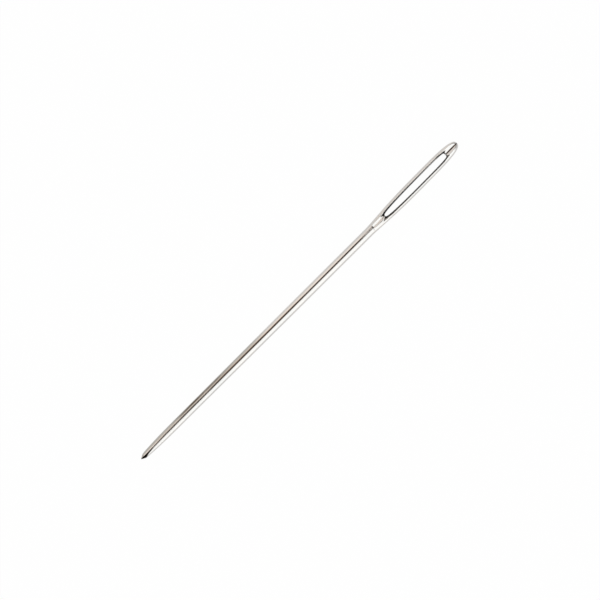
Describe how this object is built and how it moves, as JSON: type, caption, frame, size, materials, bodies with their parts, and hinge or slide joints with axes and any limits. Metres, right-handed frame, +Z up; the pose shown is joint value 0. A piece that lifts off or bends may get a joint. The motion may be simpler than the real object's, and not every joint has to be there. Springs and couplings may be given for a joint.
{
  "type": "yarn needle",
  "caption": "Large-eyed metal hand-sewing needle with a blunt tip, a long smooth shaft and an oval eye with a gutter at each end.",
  "frame": {"origin": "centre of the needle's bounding box, at the height of the surface it lies on", "axes": "+X along the needle towards the eye, +Z up through the eye, +Y across the eye"},
  "size_m": [0.07, 0.0022, 0.0017],
  "materials": {
    "plated_steel": "polished"
  },
  "bodies": {
    "root": {"needle": "plated_steel"}
  },
  "joints": []
}
